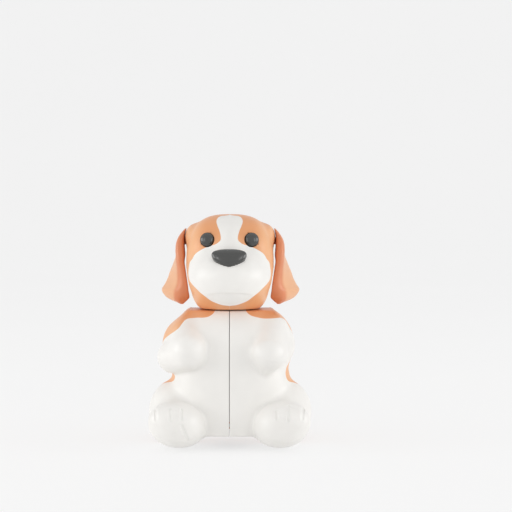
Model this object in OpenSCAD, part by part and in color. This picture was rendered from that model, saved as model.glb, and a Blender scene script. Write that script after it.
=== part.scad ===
// Toothbrush cover shaped as a seated puppy. The two halves of the body are doors that swing
// open about upright pins at the back; an inner leaf on each one stands behind the brush head.
// The head and a narrow back frame stay still, held to the wall by a suction cup.
// Units are millimetres. Z is up, the face looks along -Y, and the wall is the plane Y = 0.

/* [Body] */
// overall width of the trunk between the arms
trunk_w = 42.6; // [38:0.2:46]
// depth of the trunk, belly to back
trunk_d = 31; // [29:0.5:33]
// height of the doors above the soles of the feet
door_top = 47; // [45:0.5:48]
// height of the flat belly floor above the soles
floor_z = 4.4; // [3:0.2:5]
// wall thickness of the moulded shells
wall = 1.8; // [1.4:0.1:2.2]
// gap between the two doors at the front
split_gap = 0.3; // [0.3:0.1:0.8]
// distance from the wall to the flat back of the body
back_y = 11.6; // [11:0.2:13]
// width of the hole round the neck of the brush
neck_hole_d = 13; // [11:0.5:14]

/* [Limbs] */
// sideways reach of the knees from the middle
knee_x = 28.2; // [26:0.2:30]
// distance from the wall to the soles of the feet
sole_y = 49.6; // [47:0.2:51]
// radius of the paws
paw_r = 5.6; // [5:0.2:6.2]
// radius of the forearms
forearm_r = 5.6; // [5:0.2:6.2]

/* [Head] */
// overall width of the head without ears
head_w = 30.4; // [28.8:0.2:32]
// height of the crown above the soles
crown_z = 79.8; // [78:0.2:83]
// gap between the head and the doors
neck_gap = 0.4; // [0.3:0.1:0.8]
// narrowing of the cheeks below the eyes, per height
cheek_taper = 0.14; // [0:0.01:0.2]
// width of the muzzle
muzzle_w = 27.2; // [25:0.2:28.4]
// distance from the wall to the front of the muzzle
muzzle_y = 48.8; // [47:0.2:50]
// gap between the head and the drop ears
ear_gap = 0.7; // [0.6:0.1:1]
// thickness of the drop ears
ear_t = 2.7; // [2.2:0.1:3.2]
// outward flare of the ears at their tips
ear_flare = 6.5; // [5.5:0.1:7]
// depth of the drop ears, front to back
ear_d = 13; // [11:0.5:15]
// diameter of the eyes
eye_d = 4.9; // [4.4:0.1:5.6]
// height of the eyes above the soles
eye_z = 71.2; // [69:0.2:73]
// distance of each eye from the middle
eye_x = 7.5; // [6.8:0.1:8.4]
// width of the nose
nose_w = 11.8; // [10:0.2:13]
// height of the nose
nose_h = 6.2; // [5.4:0.2:7]
// height of the middle of the nose above the soles
nose_z = 65.2; // [64.4:0.2:66]

/* [Hinges] */
// sideways distance of each hinge pin from the middle
hinge_x = 9.5; // [9.2:0.1:9.8]
// distance of the hinge pins from the wall
hinge_y = 15; // [15:0.1:15.4]
// diameter of the hinge pins
pin_d = 2.5; // [2:0.1:3]
// radial running clearance round the pins
pin_play = 0.06; // [0.03:0.01:0.09]
// outer radius of the hinge barrels and bracket ends
barrel_r = 3.2; // [2.8:0.1:3.3]
// thickness of the bracket arms
arm_t = 2.4; // [2:0.1:3]
// gap above and below each barrel
end_gap = 0.3; // [0.2:0.1:0.6]

/* [Inner leaves] */
// thickness of the leaves
leaf_t = 1.8; // [1.4:0.1:2.4]
// width of the pocket for the brush head
pocket_w = 14.4; // [12:0.2:16]
// length of the pocket
pocket_h = 30; // [24:0.5:32]
// width of the raised rim round the pocket
rim_w = 1.8; // [1.4:0.1:2.4]
// height of the raised rim
rim_t = 2.2; // [1.4:0.1:3]

/* [Frame and cup] */
// width of the spine between the hinges
spine_w = 12; // [10:0.5:12]
// width of the spine behind the head
spine_top_w = 9; // [8:0.5:10]
// thickness of the spine
spine_t = 2.6; // [2:0.1:2.6]
// height of the top of the spine above the soles
spine_top = 71; // [70:0.5:72]
// height of the suction cup above the soles
cup_z = 34; // [30:0.5:36]
// outer radius of the suction cup
cup_r = 15.6; // [14:0.2:16.6]
// width of the flat lip of the suction cup
lip_w = 1.8; // [1.4:0.1:2.4]
// diameter of the cup's neck in the keyhole
stem_d = 5; // [4:0.1:6]
// diameter of the cup's knob
knob_d = 8; // [7:0.1:9]

/* [Screws] */
// shank diameter of all screws
screw_d = 2; // [1.8:0.1:2.4]
// head diameter of all screws
screw_head_d = 4; // [3.6:0.1:4.4]
// height of the screw heads
screw_head_t = 1.3; // [1:0.1:1.6]
// sideways distance of the leaf screws from the middle
leaf_screw_x = 15.6; // [15.4:0.1:16]
// height of the lower leaf screws above the soles
leaf_screw_low = 13; // [12:0.5:16]
// height of the upper leaf screws above the soles
leaf_screw_high = 35; // [30:0.5:36]
// sideways distance of the head screws from the middle
head_screw_x = 9.4; // [9:0.1:10]
// height of the head screws above the soles
head_screw_z = 66; // [64:0.5:67]

/* [Smoothness] */
// steps round each moulded shell
turns = 28; // [20:2:36]
// rows over each moulded shell
rows = 24; // [18:2:30]

/* [Hidden] */
$fn = 40;
mid_y = back_y + trunk_d / 2;
body_c = [split_gap / 2, -mid_y, door_top / 2];
spine_front = back_y + 0.4;
spine_back = spine_front - spine_t;
seam_y = mid_y - 0.6;
head_c = [0, -seam_y, 62];
head_rear = mid_y - spine_front + 0.5;
head_floor = door_top + neck_gap;
joint_gap = 0.4;
leaf_back = hinge_y + barrel_r + joint_gap;
leaf_front = leaf_back + leaf_t;
arm_low = floor_z + wall + end_gap;
arm_high = door_top - wall - end_gap - arm_t;
barrel_low = arm_low + arm_t + end_gap;
barrel_high = arm_high - end_gap;
leaf_side = trunk_w / 2 - wall - 2;
pad_y = leaf_back - 2.8;
sink_y = pad_y - 2;
pilot_d = screw_d - 0.2;
pass_d = screw_d + 0.3;
sink_d = screw_head_d + 0.4;
post_r = sink_d / 2 + 1;
rear_edge = hinge_x + barrel_r + 1;
neck_hole_y = leaf_front + rim_t + neck_hole_d / 2;

// Fields: each gives about the distance from a point to a rounded form, negative inside it.
function smooth(a, b, k) = let (h = max(k - abs(a - b), 0) / k) min(a, b) - h * h * k / 4;
function egg(p, c, r) =
    let (q = [(p.x - c.x) / r.x, (p.y - c.y) / r.y, (p.z - c.z) / r.z],
         g = norm(q), s = norm([q.x / r.x, q.y / r.y, q.z / r.z]) + 1e-9)
    g * (g - 1) / s;
function keg(t, r, n, m) =
    let (s = pow(pow(abs(t.x) / r.x, n) + pow(abs(t.y) / r.y, n), m / n) + pow(abs(t.z) / r.z, m))
    norm(t) * (1 - 1 / (pow(s, 1 / m) + 1e-9));
function limb(p, a, b, ra, rb) =
    let (d = b - a, t = max(0, min(1, (p - a) * d / (d * d)))) norm(p - a - t * d) - (ra + t * (rb - ra));

// The trunk narrows at the waist and has a nearly flat back.
function trunk(p, bent) =
    let (t = [p.x, p.y + mid_y, p.z - door_top / 2 - 0.5],
         w = trunk_w / 2 - 1.2 * exp(-pow((p.z - (bent ? 25 : 28)) / (bent ? 7 : 5), 2)))
    keg(t, [w, trunk_d / 2, t.z > 0 ? 25.8 : 27], t.y < 0 ? 2.35 : 7, 3.1);
// Both upper arms slope forward from the shoulder. The left forearm is bent across the belly;
// the right one hangs and ends in a point.
function arm(p, bent) =
    bent ? smooth(smooth(egg(p, [14.5, -mid_y, 34.9], [8.9, 9.5, 9.4]),
                   limb(p, [13.6, -mid_y - 6.7, 39], [13.8, -mid_y - 13.2, 34.6], forearm_r + 0.4, paw_r + 0.2), 3.5),
               limb(p, [19.2, -mid_y - 7.5, 31], [13.8, -mid_y - 13.4, 32.8], forearm_r, paw_r), 2.5)
         : smooth(smooth(egg(p, [13.2, -mid_y, 35], [8.9, 9.5, 11.1]),
                   limb(p, [13.6, -mid_y - 6.4, 39.8], [13.3, -mid_y - 13.2, 33.8], forearm_r + 0.4, paw_r - 0.2), 3.5),
               smooth(limb(p, [16.4, -mid_y - 4, 34.6], [13.2, -mid_y - 13.4, 32], forearm_r, paw_r - 0.3),
                   limb(p, [13.2, -mid_y - 13.4, 32], [12.4, -mid_y - 12.8, 27.9], paw_r - 0.3, 2.4), 2), 2.5);
// The feet lean outwards and lift a little towards their soles.
function leg(p) =
    let (toe = max(0, min(1, (-p.y - mid_y - 7) / 13)), lean = toe * (1.5 + 0.16 * (p.z - 7.9)))
    smooth(egg(p, [knee_x - 10.9, -mid_y - 0.5, 11.4], [10.9, 11.5, 11.6]),
        keg([p.x - 16.8 - lean, p.z - 7.9 - 1.5 * toe, p.y + sole_y - 9.6], [9.6, 7.9, 9.6], 2.1, 2.5), 4);
function half_body(p, bent) =
    max(smooth(smooth(max(trunk(p, bent), floor_z - p.z), arm(p, bent), 1.6), leg(p), 1.8), p.z - door_top);

// The head is a rounded block with a full muzzle, ear roots and a flat seat for the spine.
function head(p) =
    let (t = [p.x, p.y + mid_y, p.z - head_c.z],
         r = [head_w / 2 - 0.1 - cheek_taper * max(0, min(8.3, head_c.z - 0.5 - p.z)), t.y < 0 ? 14 : head_rear,
              t.z > 0 ? crown_z - head_c.z : 17],
         s = [abs(p.x), p.y, p.z])
    max(smooth(smooth(smooth(keg(t, r, t.y < 0 ? 2.8 : 2.5, t.z > 0 ? 2.8 : 3.2),
                    egg(s, [head_w / 2 - 2.9, -25, 72.2], [3.3, 6, 4]), 2.5),
                egg(p, [0, 12.8 - muzzle_y, 58.8], [muzzle_w / 2, 12.8, 10.6]), 3),
            egg(p, [0, 10.2 - muzzle_y, 67], [4, 5, 7]), 4),
        head_floor - p.z, p.y + spine_front);

// Walks in along a ray from outside until the form, less an inset, is reached.
function reach(c, d, r, inset, bent, n) =
    let (p = c + r * d, f = (bent == undef ? head(p) : half_body(p, bent)) + inset)
    n == 0 || f < 0.002 || r < 3 ? r : reach(c, d, r - 0.8 * f, inset, bent, n - 1);

// Columns of a door stand closer at the front, where the paw and the foot are.
function door_turn(i) = 180 * (0.66 * i / turns + 0.34 * pow(i / turns, 2));
// Rays of a door run from its split face at the front round to the back, the last rows on its top.
top_rows = 3;
head_rows = rows / 2;
function door_ray(i, j, rim) =
    let (a = door_turn(i), k = rows - top_rows,
         e = j <= k ? -90 + (rim[i] + 90) * pow(j / k, 0.85) : rim[i] + (90 - rim[i]) * (j - k) / top_rows)
    [sin(a) * cos(e), -cos(a) * cos(e), sin(e)];
function door_rims(bent) =
    [for (i = [0:turns]) let (a = door_turn(i), c = [body_c.x, body_c.y, door_top - 0.01])
        atan2(door_top - body_c.z, reach(c, [sin(a), -cos(a), 0], 34, 0, bent, 60))];
// Rays of the head start from the middle of its seam and run round the Y axis, side 1 to the back.
function head_ray(i, j, back) =
    let (a = 360 * i / turns, e = 90 * j / head_rows)
    [sin(e) * cos(a), (back ? 1 : -1) * cos(e), sin(e) * sin(a)];

// Index of a point in a shell of two skins with a pole at each closed end.
function at(k, j, i, n, m) = k * ((m - 1) * n + 2) + (j == 0 ? 0 : j == m ? (m - 1) * n + 1 : 1 + (j - 1) * n + i % n);
function points(skins, m) =
    [for (s = skins) each [s[0][0], for (j = [1:m - 1]) each s[j], s[m][0]]];
function sheet(k, n, m, last) =
    [for (j = [0:m - 1]) for (i = [0:last])
        let (a = at(k, j, i, n, m), b = at(k, j, i + 1, n, m),
             c = at(k, j + 1, i + 1, n, m), d = at(k, j + 1, i, n, m),
             f = concat(a != b ? [[a, b, c]] : [], c != d ? [[a, c, d]] : []))
        each k == 1 ? f : [for (t = f) [t[2], t[1], t[0]]]];

// A door skin: rays of one half turn, so that its split face is flat.
function door_skin(inset, bent, rim) =
    [for (j = [0:rows]) [for (i = [0:turns])
        let (d = door_ray(i, j, rim)) body_c + reach(body_c, d, 40, inset, bent, 60) * d]];
module door_solid(bent, inset) {
    n = turns + 1;
    m = rows;
    rim = door_rims(bent);
    face = [for (j = [0:m - 1])
        let (a = at(0, j, 0, n, m), b = at(0, j + 1, 0, n, m), c = at(0, j + 1, turns, n, m), d = at(0, j, turns, n, m))
        a == d ? [c, b, a] : b == c ? [d, b, a] : [d, c, b, a]];
    polyhedron(points([door_skin(inset, bent, rim)], m), concat(sheet(0, n, m, turns - 1), face));
}
module door_shell(bent) {
    n = turns + 1;
    m = rows;
    rim = door_rims(bent);
    face = [for (j = [0:m - 1]) for (e = [0, turns])
        let (q = [at(0, j, e, n, m), at(0, j + 1, e, n, m), at(1, j + 1, e, n, m), at(1, j, e, n, m)])
        e > 0 ? q : [q[3], q[2], q[1], q[0]]];
    polyhedron(points([door_skin(0, bent, rim), door_skin(wall, bent, rim)], m),
        concat(sheet(0, n, m, turns - 1), sheet(1, n, m, turns - 1), face));
}

// A head skin: rays of one half ball about the middle of the seam.
function head_skin(inset, back) =
    [for (j = [0:head_rows]) [for (i = [0:turns - 1])
        let (d = head_ray(i, j, back)) head_c + reach(head_c, d, 30, inset, undef, 60) * d]];
function flat_rows(skin) = [for (s = skin) each [s[0][0], for (j = [1:head_rows]) each s[j]]];
function cap(k, j, i) =
    k * (head_rows * turns + 1) + (j == 0 ? 0 : 1 + (j - 1) * turns + i % turns);
function dome(k, turned) =
    [for (j = [0:head_rows - 1]) for (i = [0:turns - 1])
        let (a = cap(k, j, i), b = cap(k, j, i + 1), c = cap(k, j + 1, i + 1), d = cap(k, j + 1, i),
             f = concat(a != b ? [[a, b, c]] : [], [[a, c, d]]))
        each turned ? [for (t = f) [t[2], t[1], t[0]]] : f];
module head_solid(back, inset) {
    rim = [for (i = [0:turns - 1]) cap(0, head_rows, i)];
    polyhedron(flat_rows([head_skin(inset, back)]),
        concat(dome(0, back), [back ? [for (i = [turns - 1:-1:0]) rim[i]] : rim]));
}
module head_shell(back) {
    ring = [for (i = [0:turns - 1])
        let (q = [cap(0, head_rows, i), cap(0, head_rows, i + 1), cap(1, head_rows, i + 1), cap(1, head_rows, i)])
        back ? [q[3], q[2], q[1], q[0]] : q];
    polyhedron(flat_rows([head_skin(0, back), head_skin(wall, back)]),
        concat(dome(0, back), dome(1, !back), ring));
}

// A point on the front of the head, and the way the surface faces there.
function face_point(x, z) =
    let (c = [x, -seam_y, z]) c - [0, reach(c, [0, -1, 0], 30, 0, undef, 80), 0];
function face_way(p) =
    let (e = 0.3, g = [for (a = [[e, 0, 0], [0, e, 0], [0, 0, e]]) head(p + a) - head(p - a)]) g / norm(g);
module on_face(x, z, ahead) {
    p = face_point(x, z);
    g = face_way(p) + ahead * [0, -1, 0];
    n = g / norm(g);
    translate(p) rotate([0, 0, atan2(n.y, n.x)]) rotate([0, acos(n.z), 0]) rotate([0, 0, 90]) children();
}
module along_y(x, y, z) translate([x, y, z]) rotate([90, 0, 0]) children();
module sides() { children(); mirror([1, 0, 0]) children(); }
module only(side) if (side > 0) children(); else mirror([1, 0, 0]) children();

// Stacks closed outlines of equal length into one solid.
module stack(rings) {
    n = len(rings[0]);
    m = len(rings) - 1;
    body = [for (j = [0:m - 1]) for (i = [0:n - 1])
        let (a = j * n + i, b = j * n + (i + 1) % n) each [[a, b + n, b], [a, a + n, b + n]]];
    polyhedron([for (r = rings) each r],
        concat(body, [[for (i = [0:n - 1]) i], [for (i = [n - 1:-1:0]) m * n + i]]));
}

// Screw with a domed head; its seat is at the origin and its shank runs up Z.
module screw(long) {
    cylinder(d = screw_d, h = long);
    rotate_extrude() polygon([[0, -screw_head_t], [screw_head_d / 2 - 0.5, -screw_head_t],
        [screw_head_d / 2, -screw_head_t + 0.5], [screw_head_d / 2, 0], [0, 0]]);
}

// One door: half of the trunk with an arm and a leg, open behind for its leaf.
leaf_screw_spots = [leaf_screw_low, leaf_screw_high];
module door(bent) {
    difference() {
        union() {
            door_shell(bent);
            intersection() {
                for (z = leaf_screw_spots) along_y(leaf_screw_x, -back_y, z) cylinder(r = post_r - 0.6, h = pad_y - back_y);
                door_solid(bent, wall / 2);
            }
        }
        translate([-1, -leaf_front - 0.5, -1]) cube([rear_edge + 1, leaf_front, door_top + 2]);
        translate([0, -neck_hole_y, -1]) cylinder(d = neck_hole_d, h = floor_z + wall + 2);
        for (z = leaf_screw_spots) {
            along_y(leaf_screw_x, 0, z) cylinder(d = sink_d, h = sink_y);
            along_y(leaf_screw_x, 0, z) cylinder(d = pass_d, h = pad_y + 1);
        }
    }
}

// One leaf: barrel, web, plate that follows the trunk, and half of the raised pocket.
leaf_low = arm_low;
leaf_high = arm_high + arm_t;
module pocket_edge(grow) {
    r = pocket_w / 2 + grow;
    intersection() {
        union() {
            translate([-r, 0]) square([2 * r, pocket_h - pocket_w / 2]);
            translate([0, pocket_h - pocket_w / 2]) circle(r);
        }
        translate([split_gap / 2, 0]) square([r + 1, pocket_h + grow]);
    }
}
module leaf() {
    difference() {
        union() {
            translate([hinge_x, -hinge_y, barrel_low]) cylinder(r = barrel_r, h = barrel_high - barrel_low);
            translate([hinge_x - barrel_r + 1, -leaf_back - 0.2, barrel_low])
                cube([2 * barrel_r - 2, leaf_back - hinge_y - pin_d / 2 - 0.6, barrel_high - barrel_low]);
            along_y(0, -leaf_back, 0) linear_extrude(leaf_t)
                polygon([[split_gap / 2, leaf_low], [leaf_side - 2, leaf_low], [leaf_side, leaf_low + 2],
                    [leaf_side, leaf_high - 8.4], [leaf_side - 4.2, leaf_high], [split_gap / 2, leaf_high]]);
            along_y(0, -leaf_front, leaf_low + 2) linear_extrude(rim_t)
                difference() { pocket_edge(rim_w); pocket_edge(0); }
            for (z = leaf_screw_spots) along_y(leaf_screw_x, -pad_y, z) cylinder(r = post_r - 1, h = leaf_back - pad_y + 0.2);
        }
        translate([hinge_x, -hinge_y, 0]) cylinder(r = pin_d / 2 + pin_play, h = door_top);
        for (z = leaf_screw_spots) along_y(leaf_screw_x, -pad_y + 1, z) cylinder(d = pilot_d, h = leaf_back - pad_y + leaf_t + 0.6);
    }
}
leaf_screw_l = leaf_front - sink_y - 0.8;
module leaf_screws() for (z = leaf_screw_spots) along_y(leaf_screw_x, -sink_y, z) screw(leaf_screw_l);

module hinge_pin() translate([hinge_x, -hinge_y, arm_low]) cylinder(d = pin_d, h = leaf_high - arm_low);

// The frame: a tapered spine with two pairs of bracket arms and a keyhole for the cup.
frame_screw_spots = [cup_z + cup_r + 5, spine_top - 4];
module back_frame() color("#e8762c") difference() {
    union() {
        along_y(0, -spine_back, 0) linear_extrude(spine_t)
            polygon([[-spine_w / 2, floor_z + 1], [-spine_w / 2 + 1, floor_z], [spine_w / 2 - 1, floor_z],
                [spine_w / 2, floor_z + 1], [spine_w / 2, door_top], [spine_top_w / 2, door_top + 5],
                [spine_top_w / 2, spine_top - 2], [spine_top_w / 2 - 2, spine_top],
                [2 - spine_top_w / 2, spine_top], [-spine_top_w / 2, spine_top - 2],
                [-spine_top_w / 2, door_top + 5], [-spine_w / 2, door_top]]);
        for (z = [arm_low, arm_high]) translate([0, 0, z]) linear_extrude(arm_t) sides() {
            translate([hinge_x, -hinge_y]) circle(barrel_r);
            polygon([[spine_w / 2 - 2, -spine_back - 0.4], [spine_w / 2, -spine_back - 0.4],
                [hinge_x, -hinge_y + barrel_r], [hinge_x, -hinge_y - barrel_r], [spine_w / 2 - 2, -spine_front - 2]]);
        }
    }
    sides() translate([hinge_x, -hinge_y, 0]) cylinder(d = pin_d + 0.02, h = door_top);
    along_y(0, 1 - spine_back, cup_z) cylinder(d = stem_d + 0.3, h = spine_t + 2);
    translate([-stem_d / 2 - 0.15, -spine_front - 1, cup_z - knob_d]) cube([stem_d + 0.3, spine_t + 2, knob_d]);
    along_y(0, 1 - spine_back, cup_z - knob_d) cylinder(d = knob_d + 0.6, h = spine_t + 2);
    for (z = frame_screw_spots) {
        along_y(0, 1 - spine_back, z) cylinder(d = sink_d, h = 1 + screw_head_t);
        along_y(0, 0, z) cylinder(d = pass_d, h = spine_front + 1);
    }
}
frame_seat = spine_back + screw_head_t;
frame_screw_l = 7;
module frame_screws() color("silver") for (z = frame_screw_spots) along_y(0, -frame_seat, z) screw(frame_screw_l);

// The cup lies open to the wall, with a flat lip, a hub on the spine and a knob through the keyhole.
cup_deep = 2.6;
cup_skin = 1.2;
module suction_cup() color([0.85, 0.87, 0.88]) along_y(0, 0, cup_z) rotate_extrude($fn = 64)
    polygon(concat(
        [[0, cup_deep], for (i = [1:5]) [(cup_r - lip_w) * i / 5, cup_deep * (1 - pow(i / 5, 2))]],
        [[cup_r, 0], [cup_r, 0.6]],
        [for (i = [4:-1:1]) [5 + (cup_r - 5) * i / 5, 0.8 + (cup_deep + cup_skin) * (1 - pow(i / 5, 1.6))]],
        [[6, spine_back - 2.4], [5.6, spine_back], [stem_d / 2, spine_back],
            [stem_d / 2, spine_front], [knob_d / 2, spine_front + 0.1], [knob_d / 2, spine_front + 0.9],
            [knob_d / 2 - 1.2, spine_front + 2.1], [0, spine_front + 2.1]]));

// The head: front and back halves, joined by two long screws in posts.
face_sink = seam_y - 10;
head_screw_l = 16;
module head_posts(back, r) sides() along_y(head_screw_x, back ? -spine_front : -seam_y, head_screw_z)
    cylinder(r = r, h = back ? seam_y - spine_front : 26);
module head_face() color("#e8762c") difference() {
    union() {
        head_shell(false);
        intersection() { head_posts(false, post_r - 0.6); head_solid(false, wall / 2); }
    }
    sides() along_y(head_screw_x, 1 - seam_y, head_screw_z) cylinder(d = pilot_d, h = head_screw_l - 8);
    sides() on_face(eye_x, eye_z, 2) translate([0, 0, -0.8]) cylinder(d = eye_d + 0.2, h = 4);
    on_face(0, nose_z, 0.5) translate([0, 0, -1]) linear_extrude(5) polygon(nose_outline(1 + 0.2 / nose_w));
}
module head_back() color("#e8762c") difference() {
    union() {
        head_shell(true);
        intersection() {
            union() {
                head_posts(true, post_r);
                for (z = frame_screw_spots) along_y(0, -spine_front, z) cylinder(r = post_r - 0.6, h = 7);
            }
            head_solid(true, wall / 2);
        }
    }
    sides() along_y(head_screw_x, 0, head_screw_z) { cylinder(d = sink_d, h = face_sink); cylinder(d = pass_d, h = seam_y + 1); }
    for (z = frame_screw_spots) along_y(0, 1 - spine_front, z) cylinder(d = pilot_d, h = 1 + frame_screw_l - 1);
    sides() translate([0, ear_peg_y, ear_peg_z]) rotate([0, 90, 0]) cylinder(d = ear_peg_d + 0.1, h = head_w);
}
module head_screws() color("silver") sides() along_y(head_screw_x, -face_sink, head_screw_z) screw(head_screw_l);

// Drop ear: stations of height, inner side, front width, flare and depth. Each section is a
// rounded quadrangle, and the flap flares out behind its front edge as it falls.
ear_peg_d = 2.6;
ear_peg_y = -22.4;
ear_peg_z = 70.5;
ear_line = [[48.5, 0.4, 0.4, 0.02, 0.2], [49, -0.3, 0.93, 0.13, 0.36], [49.9, -1.9, 1.83, 0.44, 0.58],
    [51.1, -3.2, 2.33, 0.74, 0.78], [53.2, -2.95, 2.09, 1, 0.94], [55.2, -2.45, 1.59, 0.96, 1],
    [57.3, -1.95, 1.34, 0.82, 1], [59.4, -1.55, 1.27, 0.67, 1], [61.5, -1.1, 1.22, 0.47, 1],
    [63.5, -0.7, 1.26, 0.24, 1], [65.6, -0.7, 1.37, 0.03, 0.97], [67.5, -0.5, 1.34, 0, 0.92],
    [69.8, -0.2, 1.15, 0, 0.84], [71.9, -0.1, 0.82, 0, 0.72], [73.9, -0.4, 0.4, 0, 0.5], [74.8, -0.7, 0.18, 0, 0.28]];
module ear() {
    stack([for (s = ear_line)
        let (a = head_w / 2 + ear_gap + s[1], b = a + s[2] * ear_t, c = b + s[3] * ear_flare,
             d = c - min(s[2], 1.1) * ear_t, y = s[4] * ear_d / 2)
        [for (k = [0:19])
            let (e = 18 * k + 9, u = (1 + sign(cos(e)) * pow(abs(cos(e)), 0.6)) / 2,
                 v = (1 + sign(sin(e)) * pow(abs(sin(e)), 0.6)) / 2)
            [(1 - v) * (a + u * (b - a)) + v * (d + u * (c - d)), (2 * v - 1) * y - 24, s[0]]]]);
    translate([head_w / 2 + 1.8, ear_peg_y, ear_peg_z]) rotate([0, -90, 0]) cylinder(d = ear_peg_d, h = 3.4);
}

module eye() rotate_extrude() polygon(concat([[0, -0.8], [eye_d / 2, -0.8]],
    [for (a = [0:18:90]) [eye_d / 2 * cos(a), 0.15 + 1.1 * sin(a)]]));
function nose_outline(k) = [for (a = [0:12:348])
    let (c = cos(a), v = sin(a), x = sign(c) * pow(abs(c), 0.78), y = sign(v) * pow(abs(v), 0.84))
    k * [1.165 * nose_w / 2 * x * (1 - 0.65 * pow((1 - v) / 2, 1.65)), nose_h / 2 * y]];
module nose() on_face(0, nose_z, 0.5) stack([for (s = [[-1, 1], [0.3, 1], [0.9, 0.94], [1.5, 0.78], [1.9, 0.5], [2.05, 0.2]])
    [for (q = nose_outline(s[1])) [q.x, q.y, s[0]]]]);

module placed() translate([0, 0, -cup_z]) children();
placed() back_frame();
placed() suction_cup();
placed() color("silver") only(-1) hinge_pin();  // hinge_pin_left
placed() color("silver") hinge_pin();  // hinge_pin_right
placed() color("#f4f3ef") only(-1) door(true);  // door_left
placed() color("#f4f3ef") door(false);  // door_right
placed() color("#f4f3ef") only(-1) leaf();  // leaf_left
placed() color("#f4f3ef") leaf();  // leaf_right
placed() color("silver") only(-1) leaf_screws();  // leaf_screws_left
placed() color("silver") leaf_screws();  // leaf_screws_right
placed() head_face();
placed() head_back();
placed() head_screws();
placed() frame_screws();
placed() color("#d9652a") only(-1) ear();  // ear_left
placed() color("#d9652a") ear();  // ear_right
placed() color("#26211f") only(-1) on_face(eye_x, eye_z, 2) eye();  // eye_left
placed() color("#26211f") on_face(eye_x, eye_z, 2) eye();  // eye_right
placed() color("#26211f") nose();
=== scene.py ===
import math
import bpy
import bmesh
import numpy as np
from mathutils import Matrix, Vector


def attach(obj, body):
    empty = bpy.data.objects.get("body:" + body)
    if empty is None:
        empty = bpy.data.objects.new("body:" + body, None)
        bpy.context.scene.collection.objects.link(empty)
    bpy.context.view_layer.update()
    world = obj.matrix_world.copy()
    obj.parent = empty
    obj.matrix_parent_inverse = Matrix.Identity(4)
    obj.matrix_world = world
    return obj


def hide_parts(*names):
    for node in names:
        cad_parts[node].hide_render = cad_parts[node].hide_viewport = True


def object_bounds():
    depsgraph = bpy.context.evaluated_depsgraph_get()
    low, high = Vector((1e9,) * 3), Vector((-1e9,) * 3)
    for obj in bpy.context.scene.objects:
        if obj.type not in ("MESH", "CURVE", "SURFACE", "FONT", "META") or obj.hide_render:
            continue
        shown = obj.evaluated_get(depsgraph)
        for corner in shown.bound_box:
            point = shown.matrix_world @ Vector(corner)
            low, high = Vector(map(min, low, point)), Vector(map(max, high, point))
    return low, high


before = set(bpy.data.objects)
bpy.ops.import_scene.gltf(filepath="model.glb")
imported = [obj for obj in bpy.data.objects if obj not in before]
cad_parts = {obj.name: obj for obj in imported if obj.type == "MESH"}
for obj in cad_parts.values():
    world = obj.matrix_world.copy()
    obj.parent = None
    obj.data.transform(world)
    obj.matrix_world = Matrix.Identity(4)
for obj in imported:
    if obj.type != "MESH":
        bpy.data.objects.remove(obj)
cadLow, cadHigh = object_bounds()
print("frame loaded")

# Shapes are written in millimetres above the soles, with the wall at y = 0;
# cupHeight is where the suction cup sits, which is the origin of the frame.
# Powers tell how square a rounded outline is: 2 is an ellipse.
cupHeight = 34.0

bodyPlan = dict(trunkWidth=42.6, trunkDepth=31.0, trunkUp=25.8, trunkDown=27.0, trunkRise=0.5,
                frontPower=2.35, rearPower=7.0, sidePower=3.1, waistIn=1.2,
                waist={True: (25.0, 7.0), False: (28.0, 5.0)},      # height and reach, by bent arm
                doorTop=47.0, floorHeight=4.4, wall=1.8, splitGap=0.22, backY=11.6, neckHole=13.0,
                armJoin=1.6, legJoin=1.8, padDepth=2.8, outerBand=0.75)
easePlan = dict(floor=0.6, top=0.4, split=0.15, seam=0.25)     # how far cut edges are rounded
midY = bodyPlan["backY"] + bodyPlan["trunkDepth"] / 2


# rounded forms as distance fields: about the distance to the skin, negative inside
def length(v):
    return np.sqrt((v * v).sum(-1))


def joinSoft(a, b, k):
    h = np.maximum(k - np.abs(a - b), 0) / k
    return np.minimum(a, b) - h * h * k / 4


def cutSoft(a, b, k):
    return -joinSoft(-a, -b, k)


def egg(p, centre, radii):
    q = p - np.array(centre, float)
    r = np.array(radii, float)
    g = length(q / r)
    return g * (g - 1) / (length(q / (r * r)) + 1e-9)


def keg(q, rx, ry, rz, n, m):
    a = np.abs(q)
    s = ((a[..., 0] / rx) ** n + (a[..., 1] / ry) ** n) ** (m / n) + (a[..., 2] / rz) ** m
    return length(q) * (1 - 1 / (s ** (1 / m) + 1e-9))


def toSegment(q, a, b):          # distance to a line from a to b, and how far along it
    a, b = np.array(a, float), np.array(b, float)
    d = b - a
    t = np.clip(((q - a) @ d) / (d @ d), 0, 1)
    return length(q - a - t[..., None] * d), t


def limb(p, a, b, ra, rb):
    off, t = toSegment(p, a, b)
    return off - (ra + t * (rb - ra))


def stroke(p, a, b, width):      # a line as seen from the front
    return toSegment(p[..., [0, 2]], a, b)[0] - width


def rod(p, x, z, y0, y1, r):     # a round rod along Y
    side = np.sqrt((p[..., 0] - x) ** 2 + (p[..., 2] - z) ** 2) - r
    return np.maximum(side, np.abs(p[..., 1] - (y0 + y1) / 2) - abs(y1 - y0) / 2)


def bored(shell, p, x, z, depth, width):     # a round hole that comes in from the wall side
    return np.maximum(shell, -rod(p, x, z, -depth, 2, width / 2))


def withPosts(shell, skin, posts):           # posts that end inside the wall of the shell
    return np.minimum(shell, np.maximum(posts, skin + bodyPlan["wall"] / 2))


def folded(p):                   # both sides as one
    return np.stack([np.abs(p[..., 0]), p[..., 1], p[..., 2]], -1)


def fromMiddle(x, y, z):
    return [x, -midY + y, z]


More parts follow.
